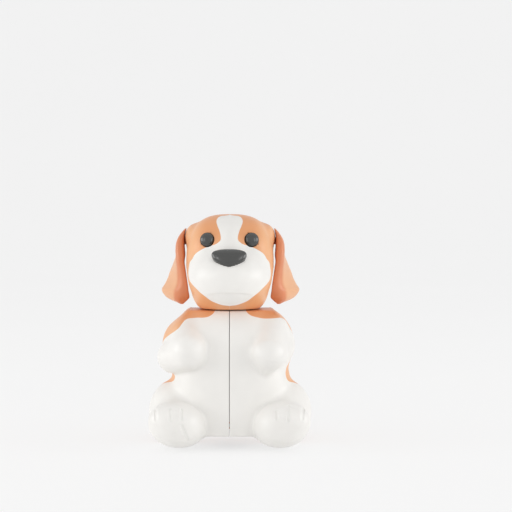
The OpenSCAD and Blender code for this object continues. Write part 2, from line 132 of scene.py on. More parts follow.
def trunk(p, bent):
    b = bodyPlan
    t = p - np.array(fromMiddle(0, 0, b["doorTop"] / 2 + b["trunkRise"]))
    waist, reach = b["waist"][bent]
    w = b["trunkWidth"] / 2 - b["waistIn"] * np.exp(-((p[..., 2] - waist) / reach) ** 2)
    n = np.where(t[..., 1] < 0, b["frontPower"], b["rearPower"])
    tall = np.where(t[..., 2] > 0, b["trunkUp"], b["trunkDown"])
    return keg(t, w, b["trunkDepth"] / 2, tall, n, b["sidePower"])


# arms, by bent arm: one lies bent over the belly, one hangs with a pointed paw. Depths are told
# from the middle of the trunk; a limb is two ends and their radii: slope, lower arm and tip
armPlan = {True: dict(shoulder=(14.5, 0, 34.9), radii=(8.9, 9.5, 9.4),
                      limbs=[((13.6, -6.7, 39.0), (13.8, -13.2, 34.6), 6.0, 5.8),
                             ((19.2, -7.5, 31.0), (13.8, -13.4, 32.8), 5.6, 5.6)]),
           False: dict(shoulder=(13.2, 0, 35.0), radii=(8.9, 9.5, 11.1),
                       limbs=[((13.6, -6.4, 39.8), (13.3, -13.2, 33.8), 6.0, 5.4),
                              ((16.4, -4, 34.6), (13.2, -13.4, 32.0), 5.6, 5.3),
                              ((13.2, -13.4, 32.0), (12.4, -12.8, 27.9), 5.3, 2.4)])}
armJoins = dict(slope=3.5, lower=2.5, tip=2.0)


def arm(p, bent):
    plan = armPlan[bent]
    slope, lower, *tips = [limb(p, fromMiddle(*a), fromMiddle(*b), ra, rb) for a, b, ra, rb in plan["limbs"]]
    for tip in tips:
        lower = joinSoft(lower, tip, armJoins["tip"])
    shoulder = egg(p, fromMiddle(*plan["shoulder"]), plan["radii"])
    return joinSoft(joinSoft(shoulder, slope, armJoins["slope"]), lower, armJoins["lower"])


legPlan = dict(kneeX=28.2, kneeHeight=11.4, thigh=(10.9, 11.5, 11.6), soleY=49.6, footX=16.8,
               footHeight=7.9, footRadius=9.6, footPowers=(2.1, 2.5), liftStart=7.0, liftRun=13.0,
               lift=1.5, leanOut=1.5, leanUp=0.16, join=4.0)


def leg(p):                      # the feet lean outwards and lift a little towards their soles
    g = legPlan
    x, y, z = p[..., 0], p[..., 1], p[..., 2]
    toe = np.clip((-y - midY - g["liftStart"]) / g["liftRun"], 0, 1)
    lean = toe * (g["leanOut"] + g["leanUp"] * (z - g["footHeight"]))
    thigh = egg(p, fromMiddle(g["kneeX"] - g["thigh"][0], -0.5, g["kneeHeight"]), g["thigh"])
    spot = np.stack([x - g["footX"] - lean, z - g["footHeight"] - g["lift"] * toe,
                     y + g["soleY"] - g["footRadius"]], -1)
    foot = keg(spot, g["footRadius"], g["footHeight"], g["footRadius"], *g["footPowers"])
    return joinSoft(thigh, foot, g["join"])


def bodySkin(p, bent):
    b = bodyPlan
    whole = cutSoft(trunk(p, bent), b["floorHeight"] - p[..., 2], easePlan["floor"])
    whole = joinSoft(whole, arm(p, bent), b["armJoin"])
    whole = joinSoft(whole, leg(p), b["legJoin"])
    return cutSoft(whole, p[..., 2] - b["doorTop"], easePlan["top"])


toePlan = dict(front=-44.0, width=0.36, depth=0.2, ease=0.5,
               # creases of each foot by bent arm, as (x, z) pairs seen from the front
               lines={True: [((24.2, 11.4), (24.5, 14.1)), ((19.4, 11.5), (19.6, 14.5)),
                             ((15.9, 11.8), (16.0, 14.2)), ((15.7, 9.4), (14.0, 4.9))],
                      False: [((19.6, 11.5), (19.9, 15.4)), ((24.4, 11.7), (24.8, 15.0)),
                              ((16.0, 12.0), (15.9, 14.0))]})
hingePlan = dict(x=9.5, y=15.0, barrel=3.2, gap=0.4, leafThickness=1.8, rimHeight=2.2,
                 sideRoom=1.0, frontRoom=0.5)
# screws of the doors, the head and the frame
screwPlan = dict(shank=2.0, head=4.0, headHeight=1.3, sink=4.4, passing=2.3, pilot=1.8,
                 postWall=0.4, leafX=15.6, leafHeights=(13.0, 35.0), leafSeat=13.8, leafLength=5.8,
                 headX=9.4, headZ=66.0, headSeat=16.5, headLength=16.0,
                 frameHeights=(54.6, 67.0), frameSeat=10.7, frameLength=7.0)


def doorShell(p, bent):
    b, h, s, toes = bodyPlan, hingePlan, screwPlan, toePlan
    leafBack = h["y"] + h["barrel"] + h["gap"]
    leafFront = leafBack + h["leafThickness"]
    holeY = leafFront + h["rimHeight"] + b["neckHole"] / 2
    padY = leafBack - b["padDepth"]
    postRadius = s["sink"] / 2 + s["postWall"]
    skin = bodySkin(p, bent)
    carved = skin
    behind = np.where(p[..., 1] < toes["front"], 0.0, 9.0)
    for a, c in toes["lines"][bent]:
        groove = np.maximum(stroke(p, a, c, toes["width"]) + behind, -skin - toes["depth"])
        carved = cutSoft(carved, -groove, toes["ease"])
    shell = np.maximum(carved, -(skin + b["wall"]))
    for z in s["leafHeights"]:
        shell = withPosts(shell, skin, rod(p, s["leafX"], z, -padY, -b["backY"], postRadius))
    shell = cutSoft(shell, b["splitGap"] / 2 - p[..., 0], easePlan["split"])
    rear = np.maximum(p[..., 0] - (h["x"] + h["barrel"] + h["sideRoom"]),
                      -(p[..., 1] + leafFront + h["frontRoom"]))
    shell = np.maximum(shell, -rear)
    hole = b["neckHole"] / 2 - np.sqrt(p[..., 0] ** 2 + (p[..., 1] + holeY) ** 2)
    shell = np.maximum(shell, np.where(p[..., 2] < 12, hole, -9.0))
    for z in s["leafHeights"]:
        shell = bored(shell, p, s["leafX"], z, s["leafSeat"], s["sink"])
        shell = bored(shell, p, s["leafX"], z, padY + 1, s["passing"])
    return shell


headPlan = dict(width=30.4, crown=79.8, middle=62.0, frontDepth=14.0, backDepth=15.6, lower=17.0,
                frontPower=2.8, backPower=2.5, topPower=2.8, chinPower=3.2, cheekTaper=0.14, cheekRun=8.3,
                templeIn=2.9, templeY=-25, templeHeight=72.2, temple=(3.3, 6, 4.0), templeJoin=2.5,
                muzzleWidth=27.2, muzzleDepth=12.8, muzzleTall=10.6, muzzleY=48.8, muzzleHeight=58.8,
                muzzleJoin=3, bridgeAt=(0, -38.6, 67), bridge=(4, 5, 7), bridgeJoin=4,
                neckGap=0.4, seamY=26.5, spineY=12.0)


def headForm(p):
    h = headPlan
    t = p - np.array(fromMiddle(0, 0, h["middle"]))
    ahead, over = t[..., 1] < 0, t[..., 2] > 0
    ry = np.where(ahead, h["frontDepth"], h["backDepth"])
    rz = np.where(over, h["crown"] - h["middle"], h["lower"])
    n = np.where(ahead, h["frontPower"], h["backPower"])
    m = np.where(over, h["topPower"], h["chinPower"])
    drop = np.clip(h["middle"] - 0.5 - p[..., 2], 0, h["cheekRun"])
    form = keg(t, h["width"] / 2 - 0.1 - h["cheekTaper"] * drop, ry, rz, n, m)
    temple = egg(folded(p), [h["width"] / 2 - h["templeIn"], h["templeY"], h["templeHeight"]], h["temple"])
    muzzle = egg(p, [0, h["muzzleDepth"] - h["muzzleY"], h["muzzleHeight"]],
                 [h["muzzleWidth"] / 2, h["muzzleDepth"], h["muzzleTall"]])
    form = joinSoft(joinSoft(form, temple, h["templeJoin"]), muzzle, h["muzzleJoin"])
    return joinSoft(form, egg(p, h["bridgeAt"], h["bridge"]), h["bridgeJoin"])


def headSkin(p):
    form = np.maximum(headForm(p), p[..., 1] + headPlan["spineY"])
    return cutSoft(form, bodyPlan["doorTop"] + headPlan["neckGap"] - p[..., 2], easePlan["top"])


# eyes and nose; ahead turns a seat towards the front, room is left round the piece
eyePlan = dict(x=7.5, height=71.2, width=4.9, dome=1.2, ahead=2, room=0.1, seatFrom=-0.8, seatTo=3.2)
nosePlan = dict(width=11.8, tall=6.2, height=65.2, dome=1.68, ahead=0.5, room=0.2, seatFrom=-1.0,
                seatTo=4.0, fuller=1.165, sidePower=0.78, upPower=0.84, narrower=0.65, narrowPower=1.65)


def faceAxes(x, z, ahead):       # a seat on the face: its middle and its across, up and outward ways
    y = -headPlan["seamY"] - 30.0
    for _ in range(120):         # from well in front, towards the skin
        y += 0.8 * float(headSkin(np.array([x, y, z])))
    at = np.array([x, y, z])
    slope = np.array([headSkin(at + d) - headSkin(at - d) for d in np.eye(3) * 0.3])
    out = slope / np.linalg.norm(slope) + ahead * np.array([0, -1, 0])
    out /= np.linalg.norm(out)
    across = np.cross([0, 0, 1], out)
    across /= np.linalg.norm(across)
    return at, across, np.cross(out, across), out


def turns(count):                # evenly spaced angles of a full turn
    return np.arange(count) * 2 * np.pi / count


def squarer(v, power):
    return np.sign(v) * np.abs(v) ** power


def noseOutline(k, steps=96):
    a = turns(steps)
    c, v = np.cos(a), np.sin(a)
    x = squarer(c, nosePlan["sidePower"]) * nosePlan["fuller"] * nosePlan["width"] / 2
    x = x * (1 - nosePlan["narrower"] * ((1 - v) / 2) ** nosePlan["narrowPower"])
    return k * np.stack([x, squarer(v, nosePlan["upPower"]) * nosePlan["tall"] / 2], -1)


eyeSeats = {side: faceAxes(side * eyePlan["x"], eyePlan["height"], eyePlan["ahead"]) for side in (-1, 1)}
noseSeat = faceAxes(0, nosePlan["height"], nosePlan["ahead"])


def pressed(shell, p, seat, plan, outline):          # a flat-bottomed seat for an eye or the nose
    q = (p - seat[0]) @ np.stack(seat[1:], -1)
    hole = np.sqrt(q[..., 0] ** 2 + q[..., 1] ** 2) - outline(q)
    low, high = plan["seatFrom"], plan["seatTo"]
    return np.maximum(shell, -np.maximum(hole, np.abs(q[..., 2] - (low + high) / 2) - (high - low) / 2))


def eyeReach(q):
    return eyePlan["width"] / 2 + eyePlan["room"]


def noseReach(q):                # how far the nose's outline is from its middle, by direction
    ring = noseOutline(1 + nosePlan["room"] / nosePlan["width"])
    turn, reach = np.arctan2(ring[:, 1], ring[:, 0]), length(ring)
    order = np.argsort(turn)
    return np.interp(np.arctan2(q[..., 1], q[..., 0]), turn[order], reach[order], period=2 * np.pi)


mouthPlan = dict(height=53.8, droop=0.012, depth=0.5, rampIn=0.45, fade=4.0, halfWidth=7.8,
                 sideFade=3.0, front=36.0)


def headShell(p, back):
    h, s, lips, e = headPlan, screwPlan, mouthPlan, earPlan
    skin = headSkin(p)
    # the mouth is a ledge: the lower jaw steps back under it
    under = lips["height"] - lips["droop"] * p[..., 0] ** 2 - p[..., 2]
    below = np.clip(under / lips["rampIn"], 0, 1) * np.clip(1.1 - under / lips["fade"], 0, 1)
    wide = (np.clip((lips["halfWidth"] - np.abs(p[..., 0])) / lips["sideFade"], 0, 1)
            * np.clip((-p[..., 1] - lips["front"]) / lips["sideFade"], 0, 1))
    carved = skin + lips["depth"] * below * wide
    shell = np.maximum(carved, -(skin + bodyPlan["wall"]))
    sides, postRadius = folded(p), s["sink"] / 2 + s["postWall"]
    if back:
        posts = rod(sides, s["headX"], s["headZ"], -h["seamY"], -h["spineY"], s["sink"] / 2 + 1)
        for z in s["frameHeights"]:
            posts = np.minimum(posts, rod(p, 0, z, -h["spineY"] - 7, -h["spineY"], postRadius))
        shell = withPosts(shell, skin, posts)
        shell = bored(shell, sides, s["headX"], s["headZ"], s["headSeat"], s["sink"])
        shell = bored(shell, sides, s["headX"], s["headZ"], h["seamY"] + 1, s["passing"])
        for z in s["frameHeights"]:
            shell = bored(shell, p, 0, z, h["spineY"] + 6, s["pilot"])
        peg = np.sqrt((p[..., 1] + e["pegY"]) ** 2 + (p[..., 2] - e["pegZ"]) ** 2)
        shell = np.maximum(shell, e["peg"] / 2 + 0.05 - peg)
        return cutSoft(shell, -(p[..., 1] + h["seamY"]), easePlan["seam"])
    posts = rod(sides, s["headX"], s["headZ"], -h["seamY"] - 26, -h["seamY"], postRadius)
    shell = withPosts(shell, skin, posts)
    shell = bored(shell, sides, s["headX"], s["headZ"], h["seamY"] + 7, s["pilot"])
    for seat in eyeSeats.values():
        shell = pressed(shell, p, seat, eyePlan, eyeReach)
    shell = pressed(shell, p, noseSeat, nosePlan, noseReach)
    return cutSoft(shell, p[..., 1] + h["seamY"], easePlan["seam"])


# surface of a field: one point a cell, drawn to where the skin's tangent planes meet,
# so that cut edges stay crisp
def surfaceOf(field, low, high, step):
    low = np.array(low, float)
    count = np.ceil((np.array(high) - low) / step).astype(int) + 1
    axes = [low[i] + step * np.arange(count[i]) for i in range(3)]
    value = np.empty(count, np.float32)
    gy, gz = np.meshgrid(axes[1], axes[2], indexing="ij")
    for i, x in enumerate(axes[0]):
        value[i] = field(np.stack([np.full_like(gy, x), gy, gz], -1))
    stride = np.array([count[1] * count[2], count[2], 1])
    spots, cells, flips = [], [], []
    for axis in range(3):
        u, w = (axis + 1) % 3, (axis + 2) % 3
        near, far = [slice(None)] * 3, [slice(None)] * 3
        near[axis], far[axis] = slice(0, -1), slice(1, None)
        a, b = value[tuple(near)], value[tuple(far)]
        where = np.argwhere((a < 0) != (b < 0))
        inner = np.all([(where[:, o] > 0) & (where[:, o] < count[o] - 1) for o in (u, w)], axis=0)
        where = where[inner]
        va, vb = a[tuple(where.T)].astype(float), b[tuple(where.T)].astype(float)
        spot = low + step * where.astype(float)
        spot[:, axis] += step * va / (va - vb)
        one = np.zeros((4, 3), int)
        one[0, u] = one[0, w] = one[1, w] = one[3, u] = 1
        cells.append(((where[:, None] - one) * stride).sum(-1))
        spots.append(spot)
        flips.append(va > 0)
    spots, cells, flips = np.concatenate(spots), np.concatenate(cells), np.concatenate(flips)

    def slopeAt(p):
        g = np.stack([field(p + d) - field(p - d) for d in np.eye(3) * 0.02], -1)
        return g / (length(g)[:, None] + 1e-12)

    lean = slopeAt(spots)
    for _ in range(2):           # the crossings are brought right onto the skin
        spots = spots - np.clip(field(spots), -step, step)[:, None] * lean
    lean = slopeAt(spots)
    names, inverse = np.unique(cells.ravel(), return_inverse=True)
    inverse = inverse.ravel()
    total = np.bincount(inverse)[:, None]

    def meanBy(v):
        return np.stack([np.bincount(inverse, v[:, i]) for i in range(3)], -1) / total

    planes, at = np.repeat(lean, 4, axis=0), np.repeat(spots, 4, axis=0)
    points = meanBy(at)
    corner = low + step * np.stack(np.unravel_index(names, count), -1)
    for _ in range(16):          # each point moves to where its cell's planes meet
        gap = ((at - points[inverse]) * planes).sum(-1)
        points = np.clip(points + 1.2 * meanBy(planes * gap[:, None]), corner, corner + step)
    quads = inverse.reshape(-1, 4)
    return points, np.where(flips[:, None], quads[:, ::-1], quads)


def place(points):               # to metres in the shared frame
    return (np.asarray(points, float) - np.array([0, 0, cupHeight])) / 1000


def addObject(name, data):
    added = bpy.data.objects.new(name, data)
    bpy.context.scene.collection.objects.link(added)
    return added


def shadeSmooth(mesh, sharp=None):
    mesh.polygons.foreach_set("use_smooth", np.ones(len(mesh.polygons), bool))
    if sharp:
        mesh.set_sharp_from_angle(angle=math.radians(sharp))
    return mesh


def meshPiece(name, points, faces, sharp=38):
    mesh = bpy.data.meshes.new(name)
    if isinstance(faces, np.ndarray):
        mesh.vertices.add(len(points))
        mesh.vertices.foreach_set("co", place(points).astype(np.float32).ravel())
        mesh.loops.add(faces.size)
        mesh.loops.foreach_set("vertex_index", faces.astype(np.int32).ravel())
        mesh.polygons.add(len(faces))
        starts = np.arange(0, faces.size, faces.shape[1], dtype=np.int32)
        mesh.polygons.foreach_set("loop_start", starts)
    else:
        mesh.from_pydata(place(points).tolist(), [], faces)
    mesh.update(calc_edges=True)
    mesh.validate()
    return addObject(name, shadeSmooth(mesh, sharp))


def appliedMesh(piece, sharp):   # a plain mesh of the piece with its modifiers applied
    graph = bpy.context.evaluated_depsgraph_get()
    return shadeSmooth(bpy.data.meshes.new_from_object(piece.evaluated_get(graph), depsgraph=graph), sharp)


# helpers for nodes
def feed(tree, node, inputs):    # sets the inputs of a node, or links them
    for key, value in inputs.items():
        if isinstance(value, bpy.types.NodeSocket):
            tree.links.new(value, node.inputs[key])
        else:
            node.inputs[key].default_value = value
    return node


def put(tree, kind, inputs=None, **settings):
    node = tree.nodes.new(kind if "Node" in kind else "ShaderNode" + kind)
    for key, value in settings.items():
        setattr(node, key, value)
    return feed(tree, node, inputs or {})


def calc(tree, operation, *values):
    return put(tree, "Math", dict(enumerate(values)), operation=operation).outputs[0]


def seenDirectly(tree):          # 1 for rays from the camera, and those mirrored or let through
    rays = put(tree, "LightPath").outputs
    either = calc(tree, "MAXIMUM", rays["Is Camera Ray"], rays["Is Glossy Ray"])
    return calc(tree, "MAXIMUM", either, rays["Is Transmission Ray"])


# camera and light
lookPlan = dict(distance=0.5, aim=(0.00898, -0.027, 0.0313), pitch=-2.0, lens=101.5, lit=(0, -0.03, 0.005),
                world=0.7, sideLight=1.75, topLight=0.1, glint=0.26, paper=0.955)


def setStage():
    look = lookPlan
    camera = addObject("camera", bpy.data.cameras.new("camera"))
    back = look["distance"]
    x, y, z = look["aim"]
    camera.location = (x, y - back, z - back * math.tan(math.radians(look["pitch"])))
    camera.rotation_euler = (math.radians(90 + look["pitch"]), 0, 0)
    camera.data.lens, camera.data.sensor_width = look["lens"], 36
    camera.data.clip_start = 0.01
    bpy.context.scene.camera = camera
    bpy.context.scene.view_settings.view_transform = "Standard"
    for name, spot, shape, size, power in (
            ("softLeft", (-0.7, -0.16, 0.08), "DISK", 0.5, look["sideLight"]),
            ("softRight", (0.72, -0.16, 0.08), "DISK", 0.5, look["sideLight"]),
            ("softTop", (0.0, 0.05, 0.65), "DISK", 0.6, look["topLight"]),
            ("glintLeft", (-0.42, -0.52, 0.1), "RECTANGLE", 0.1, look["glint"]),
            ("glintRight", (0.42, -0.52, 0.1), "RECTANGLE", 0.1, look["glint"])):
        lamp = bpy.data.lights.new(name, "AREA")
        lamp.shape, lamp.size, lamp.size_y, lamp.energy = shape, size, 0.3, power
        light = addObject(name, lamp)
        light.location = spot
        light.rotation_euler = (Vector(look["lit"]) - Vector(spot)).to_track_quat("-Z", "Y").to_euler()
    world = bpy.data.worlds.new("studio")
    bpy.context.scene.world = world
    world.use_nodes = True
    tree = world.node_tree
    tree.nodes.clear()
    room = put(tree, "Background", {"Color": (1, 1, 1, 1), "Strength": look["world"]})
    sheet = put(tree, "Background", {"Color": (*[look["paper"]] * 3, 1)})
    mix = put(tree, "MixShader", {0: seenDirectly(tree), 1: room.outputs[0], 2: sheet.outputs[0]})
    put(tree, "OutputWorld", {"Surface": mix.outputs[0]})


setStage()
print("camera and lights set")


# finishes; colours are 0 to 255, curves are in millimetres
# the pale coat colour is painted side light, blended in where the skin faces sideways
paintPlan = dict(white=(243, 241, 237), coat=(231, 162, 112), coatSideLit=(240, 182, 134),
                 # the pale ear colour is painted side light on the ears' outer sides
                 ear=(222, 140, 98), earSideLit=(236, 178, 134), dark=(46, 47, 45),
                 frame=(224, 150, 108), inner=(238, 236, 231), satin=0.36, rearY=-35.0, faceY=-30.0,
                 # lower edge of the coat by distance from the split
                 coatLeft=[(0, 49.5), (4.4, 48.2), (5.2, 46.6), (6.4, 45.5), (8, 44.9), (11.9, 44.6),
                           (14.9, 44.0), (15.9, 43.0), (17.1, 41.4), (18.4, 40.3), (21.4, 37.9),
                           (23, 36.2), (23.9, 34.9), (24.5, 34.4), (30, 34)],
                 coatRight=[(0, 49.5), (4.6, 48.4), (5.4, 47.2), (6.6, 45.9), (9.2, 44.9), (12.6, 44.4),
                            (16.8, 44.5), (18.9, 43.5), (20.2, 41.4), (20.9, 40.1), (21.6, 39.3),
                            (30, 38)],
                 # front edge of the coat behind rearY, by height
                 rear=[(0, 11), (13, 11), (16.5, 10.5), (19.5, 9), (21.5, 5.5), (23, 1.6), (24.5, 1),
                       (26.5, 2), (29, 5), (31, 6.5), (50, 6.5)],
                 # half width of the muzzle and blaze, by height above muzzleFoot
                 muzzleFoot=48.0,
                 muzzle=[(0, 0.0), (0.9, 0.0), (1.05, 1.5), (1.4, 3.0), (1.9, 4.4), (2.8, 6.3),
                         (4.2, 8.05), (5.6, 9.85), (7, 11.3), (8.4, 12.75), (9.8, 13.7), (12, 14.0),
                         (13.9, 13.8), (15.3, 13.55), (16.7, 12.6), (18.1, 11.8), (19.5, 10.1),
                         (20.9, 7.3), (22.3, 3.8), (23.8, 2.85), (26, 3.3), (28, 4.1), (29.4, 4.45),
                         (30.3, 4.2), (31.2, 2.9), (31.7, 0.0), (33, 0.0)])


def toLinear(rgb):
    return [((c / 255 + 0.055) / 1.055) ** 2.4 if c > 10 else c / 255 / 12.92 for c in rgb]


def blendOf(tree, amount, one, other):
    return put(tree, "MixRGB", {"Fac": amount, "Color1": one, "Color2": other}).outputs[0]


def noise(tree, where, scale, detail):
    return put(tree, "TexNoise", {"Vector": where, "Scale": scale, "Detail": detail}).outputs["Fac"]


def relief(tree, height, strength, distance):
    bump = put(tree, "Bump", {"Height": height, "Strength": strength, "Distance": distance})
    return bump.outputs["Normal"]


def toned(tree, name):           # a value that the mesh carries
    return put(tree, "Attribute", attribute_name=name).outputs["Fac"]


def between(tree, value, low, high, low2=0.0, high2=1.0, smooth=False):
    return put(tree, "MapRange", {"Value": value, "From Min": low, "From Max": high, "To Min": low2,
                                  "To Max": high2},
               interpolation_type="SMOOTHSTEP" if smooth else "LINEAR").outputs["Result"]


def cutOff(tree, value, soft=0.09):                  # 1 where the value is above 0, with a sprayed edge
    return between(tree, value, -soft, soft, smooth=True)


def lookUp(tree, value, points, spanIn, spanOut):    # a curve through points in millimetres
    node = put(tree, "FloatCurve", {"Value": calc(tree, "DIVIDE", value, spanIn)})
    curve = node.mapping.curves[0]
    for at, (a, b) in ((0, points[0]), (1, points[-1])):
        curve.points[at].location = (a / spanIn, b / spanOut)
    for a, b in points[1:-1]:
        curve.points.new(a / spanIn, b / spanOut)
    for point in curve.points:
        point.handle_type = "AUTO_CLAMPED"
    node.mapping.update()
    return calc(tree, "MULTIPLY", node.outputs[0], spanOut)


def startFinish(name):
    finish = bpy.data.materials.new(name)
    finish.use_nodes = True
    tree = finish.node_tree
    tree.nodes.clear()
    shader = put(tree, "BsdfPrincipled")
    put(tree, "OutputMaterial", {"Surface": shader.outputs["BSDF"]})
    return finish, tree, shader


def heights(tree):               # the point, and its x, y and height above the soles, in millimetres
    big = put(tree, "VectorMath", {0: put(tree, "TexCoord").outputs["Object"], 1: (1000, 1000, 1000)},
              operation="MULTIPLY").outputs[0]
    up = put(tree, "VectorMath", {0: big, 1: (0, 0, cupHeight)}, operation="ADD").outputs[0]
    split = put(tree, "SeparateXYZ", {0: up})
    return up, split.outputs[0], split.outputs[1], split.outputs[2]


def mould(tree, shader, colour, rough, ripple=0.5, grain=0.5, film=None):
    # moulded plastic: faint flow marks, a fine satin grain and a slow drift of tone
    where = heights(tree)[0]
    drift, wave, fine = [noise(tree, where, *sizes) for sizes in ((0.09, 2.0), (0.42, 3.0), (4.5, 2.0))]
    tone = between(tree, drift, 0.3, 0.7, 0.965, 1.02)
    shaded = put(tree, "VectorMath", {0: colour, 3: tone}, operation="SCALE").outputs[0]
    patchy = calc(tree, "ADD", calc(tree, "MULTIPLY", fine, 0.10), calc(tree, "MULTIPLY", wave, 0.10))
    rise = calc(tree, "ADD", calc(tree, "MULTIPLY", wave, ripple), calc(tree, "MULTIPLY", fine, 0.16 * grain))
    if film is not None:         # the paint lies a hair above the bare plastic
        rise = calc(tree, "ADD", rise, calc(tree, "MULTIPLY", film, 0.6))
    feed(tree, shader, {"Base Color": shaded, "Roughness": calc(tree, "ADD", patchy, rough - 0.10),
                        "Normal": relief(tree, rise, 0.35, 0.00004)})


def plainFinish(name, rgb):
    finish, tree, shader = startFinish(name)
    mould(tree, shader, (*toLinear(rgb),), 0.42, 0.7, 0.9)
    return finish


# painted side light: blends a colour towards a paler one by how far the skin faces sideways
def sideLitBlend(tree, rgb, sideLitRgb, amount):
    return blendOf(tree, amount, (*toLinear(rgb), 1), (*toLinear(sideLitRgb), 1))


def paintedAndSideLitFinish(name, maskOf):
    finish, tree, shader = startFinish(name)
    mask = maskOf(tree)
    # the coat is painted paler where it faces sideways, as painted side light
    coat = sideLitBlend(tree, paintPlan["coat"], paintPlan["coatSideLit"], toned(tree, "litSide"))
    mix = blendOf(tree, mask, (*toLinear(paintPlan["white"]), 1), coat)
    mould(tree, shader, mix, paintPlan["satin"], film=mask)
    return finish


def earSideLitFinish(name):
    finish, tree, shader = startFinish(name)
    # the ears are painted paler on their outer sides, as painted side light
    sideLitAmount = between(tree, toned(tree, "litSide"), 0.5, 0.7, smooth=True)
    mould(tree, shader, sideLitBlend(tree, paintPlan["ear"], paintPlan["earSideLit"], sideLitAmount), paintPlan["satin"])
    return finish


def coatOnDoor(line):
    def maskOf(tree):
        _, x, y, z = heights(tree)
        above = calc(tree, "SUBTRACT", z, lookUp(tree, calc(tree, "ABSOLUTE", x), line, 32, 50))
        rear = calc(tree, "ADD", y, -paintPlan["rearY"])
        behind = calc(tree, "SUBTRACT", rear, lookUp(tree, z, paintPlan["rear"], 50, 20))
        either = calc(tree, "SMOOTH_MAX", above, behind, 3.0)
        return calc(tree, "MULTIPLY", cutOff(tree, either), toned(tree, "outerSkin"))
    return maskOf


def coatOnHead(tree):
    _, x, y, z = heights(tree)
    wide = lookUp(tree, calc(tree, "SUBTRACT", z, paintPlan["muzzleFoot"]), paintPlan["muzzle"], 33, 16)
    white = cutOff(tree, calc(tree, "SUBTRACT", wide, calc(tree, "ABSOLUTE", x)))
    ahead = cutOff(tree, calc(tree, "SUBTRACT", paintPlan["faceY"], y), 0.3)
    return calc(tree, "SUBTRACT", 1.0, calc(tree, "MULTIPLY", white, ahead))


def glossFinish(name, rgb):
    finish, tree, shader = startFinish(name)
    mould(tree, shader, (*toLinear(rgb),), 0.24, 0.34, 0.2)
    feed(tree, shader, {"Specular IOR Level": 0.85, "Coat Weight": 0.15, "Coat Roughness": 0.1})
    return finish


def steelFinish(name):
    finish, tree, shader = startFinish(name)
    stretched = put(tree, "Mapping", {"Vector": heights(tree)[0], "Scale": (6.0, 6.0, 0.4)}).outputs[0]
    brushed = noise(tree, stretched, 1.0, 4.0)
    feed(tree, shader, {"Base Color": blendOf(tree, brushed, (0.50, 0.50, 0.51, 1), (0.68, 0.68, 0.69, 1)),
                        "Roughness": between(tree, brushed, 0.3, 0.7, 0.22, 0.38), "Metallic": 1.0,
                        "Normal": relief(tree, brushed, 0.2, 0.00003)})
    return finish


def cupFinish(name):
    finish, tree, shader = startFinish(name)
    haze = noise(tree, heights(tree)[0], 0.35, 3.0)
    feed(tree, shader, {"Base Color": blendOf(tree, haze, (0.78, 0.82, 0.84, 1), (0.92, 0.94, 0.95, 1)),
                        "Roughness": between(tree, haze, 0.3, 0.7, 0.12, 0.26),
                        "Transmission Weight": 0.85, "IOR": 1.46,
                        "Normal": relief(tree, haze, 0.25, 0.00005)})
    return finish


finishes = dict(doorLeft=paintedAndSideLitFinish("coatAndBellyLeftSideLit", coatOnDoor(paintPlan["coatLeft"])),
                doorRight=paintedAndSideLitFinish("coatAndBellyRightSideLit", coatOnDoor(paintPlan["coatRight"])),
                head=paintedAndSideLitFinish("coatAndMuzzleSideLit", coatOnHead),
                ear=earSideLitFinish("earColourSideLit"),
                leaf=plainFinish("innerWhite", paintPlan["inner"]),
                frame=plainFinish("frameColour", paintPlan["frame"]),
                dark=glossFinish("glossyDark", paintPlan["dark"]),
                steel=steelFinish("brightSteel"), cup=cupFinish("clearRubber"))
print("finishes made")


def finished(piece, finish, body, node):
    piece.data.materials.clear()
    piece.data.materials.append(finishes[finish])
    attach(piece, body)
    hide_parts(node)


def addTone(piece, name, values):
    piece.data.attributes.new(name, "FLOAT", "POINT").data.foreach_set("value", values.astype(np.float32))


def sideLitShare(field, points):     # 0 where the skin faces forwards, 1 where it faces sideways: the share of painted side light
    slope = np.stack([field(points + d) - field(points - d) for d in np.eye(3) * 0.4], -1)
    sideLitAmount = np.clip((np.abs(slope[:, 0]) / (length(slope) + 1e-9) - 0.35) / 0.55, 0, 1)
    return sideLitAmount * sideLitAmount * (3 - 2 * sideLitAmount)


# the two doors: half of the trunk with an arm and a leg
def makeDoor(side):
    bent = side < 0
    label, low = ("Left", "left") if bent else ("Right", "right")
    step = 0.37
    points, quads = surfaceOf(lambda p: doorShell(p, bent), (-0.02, -50.4, -0.9), (29.2, -10.9, 47.9), step)
    skin = bodySkin(points, bent)
    # how far the skin faces sideways, which paints side light into the coat
    sideLitAmount = sideLitShare(lambda p: bodySkin(p, bent), points)
    if bent:
        points, quads = points * np.array([-1, 1, 1]), quads[:, ::-1]
    piece = meshPiece("door" + label + "Shell", points, quads)
    addTone(piece, "outerSkin", skin > -bodyPlan["outerBand"])
    addTone(piece, "litSide", sideLitAmount)
    finished(piece, "door" + label, low + "_half", "door_" + low)
    print(piece.name, len(quads), "faces")


makeDoor(-1)
makeDoor(1)


# ears: a drooping flap drawn from stations, with the peg that holds it in the head
earPlan = dict(gap=0.7, thick=2.7, flare=6.5, deep=13.0, middleY=-24.0, pegY=22.4, pegZ=70.5, peg=2.6,
               pegIn=1.6, pegOut=1.8, corners=0.62,
               # height, inner side, front width, flare and depth
               stations=[(48.5, 0.4, 0.4, 0.02, 0.2), (49, -0.3, 0.93, 0.13, 0.36),
                         (49.9, -1.9, 1.83, 0.44, 0.58), (51.1, -3.2, 2.33, 0.74, 0.78),
                         (53.2, -2.95, 2.09, 1, 0.94), (55.2, -2.45, 1.59, 0.96, 1),
                         (57.3, -1.95, 1.34, 0.82, 1), (59.4, -1.55, 1.27, 0.67, 1),
                         (61.5, -1.1, 1.22, 0.47, 1), (63.5, -0.7, 1.26, 0.24, 1),
                         (65.6, -0.7, 1.37, 0.03, 0.97), (67.5, -0.5, 1.34, 0, 0.92),
                         (69.8, -0.2, 1.15, 0, 0.84), (71.9, -0.1, 0.82, 0, 0.72), (73.9, -0.4, 0.4, 0, 0.5),
                         (74.8, -0.7, 0.18, 0, 0.28)])


